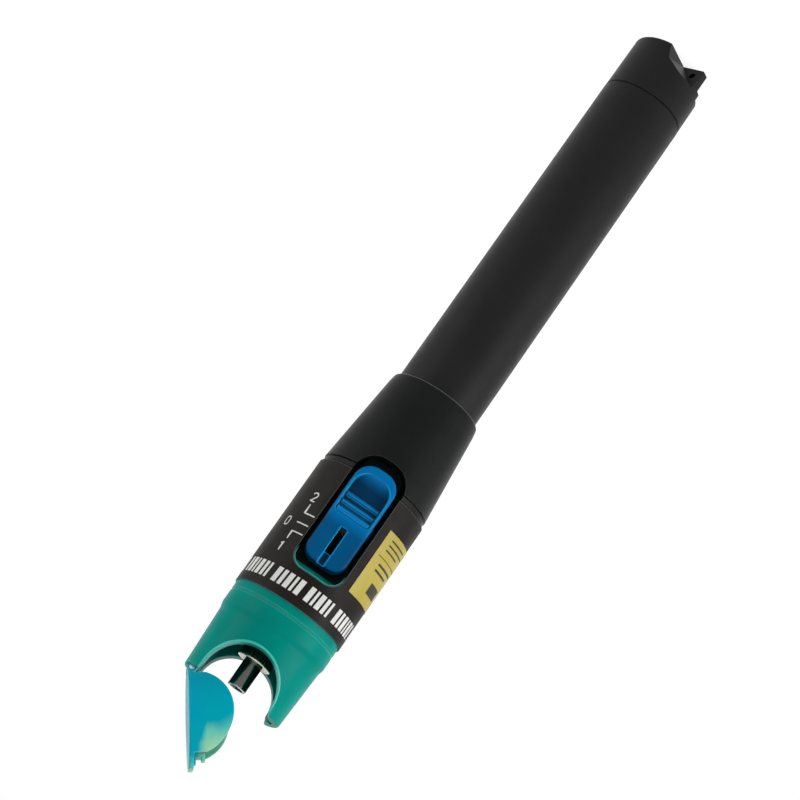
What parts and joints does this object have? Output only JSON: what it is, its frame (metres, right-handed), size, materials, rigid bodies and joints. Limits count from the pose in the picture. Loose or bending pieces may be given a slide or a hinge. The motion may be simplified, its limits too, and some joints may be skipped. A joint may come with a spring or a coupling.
{
  "type": "visual fault locator",
  "caption": "Pen-shaped battery laser tester for fibre links, with slide switch, ferrule adapter and hinged dust lid.",
  "frame": {"origin": "centre of the flat tail end, on which the pen can stand", "axes": "+Z along the pen to its head and ferrule adapter, -Y towards the slide switch, +X towards the lid hinge"},
  "size_m": [0.0265, 0.0275, 0.1937],
  "materials": {
    "black_shell": "satin",
    "teal_plastic": "semi-gloss",
    "blue_plastic": "gloss",
    "clear_lid": "translucent gloss",
    "black_label": "satin film",
    "yellow_label": "satin film",
    "dark_nickel": "bright",
    "spring_steel": "bright",
    "cell_can": "satin",
    "board": "matte",
    "black_plastic": "matte",
    "brass_part": "turned",
    "white_ceramic": "ground",
    "lens_glass": "polished"
  },
  "bodies": {
    "pen": {"battery_tube": "black_shell", "rear_cell": "cell_can", "front_cell": "cell_can", "front_contact_spring": "spring_steel", "contact_disc": "board", "ground_strip": "brass_part", "rear_collar": "black_shell", "front_housing": "teal_plastic", "label_wrap": "black_label", "side_sticker": "yellow_label", "slide_switch_case": "spring_steel", "circuit_board": "board", "board_screws": "spring_steel", "driver_chip": "black_plastic", "smoothing_capacitor": "cell_can", "laser_diode": "brass_part", "laser_holder": "brass_part", "focusing_lens": "lens_glass", "lens_ring": "brass_part", "adapter_barrel": "dark_nickel", "knurled_ring": "dark_nickel", "split_sleeve": "white_ceramic", "hinge_pin": "spring_steel"},
    "cap_contact": {"tail_spring_plate": "spring_steel", "tail_spring": "spring_steel"},
    "cap": {"tail_cap": "black_shell"},
    "knob": {"switch_knob": "blue_plastic", "slide_switch_lever": "black_plastic"},
    "lid": {"dust_lid": "clear_lid"}
  },
  "joints": [
    {"name": "cap_travel", "type": "slide", "parent": "pen", "child": "cap_contact", "axis": [0, 0, -1], "range_m": [0, 0.00625]},
    {"name": "cap_turn", "type": "hinge", "parent": "cap_contact", "child": "cap", "pos_m": [0, 0, 0], "axis": [0, 0, -1], "range_deg": [0, 1800]},
    {"name": "knob_slide", "type": "slide", "parent": "pen", "child": "knob", "axis": [0, 0, 1], "range_m": [-0.0023, 0.0023]},
    {"name": "lid_hinge", "type": "hinge", "parent": "pen", "child": "lid", "pos_m": [0.0099, 0, 0.1761], "axis": [0, 1, 0], "range_deg": [-54, 70]}
  ],
  "couplings": [
    {"joint": "cap_travel", "follows": "cap_turn", "m_per_rad": 0.00019894}
  ]
}
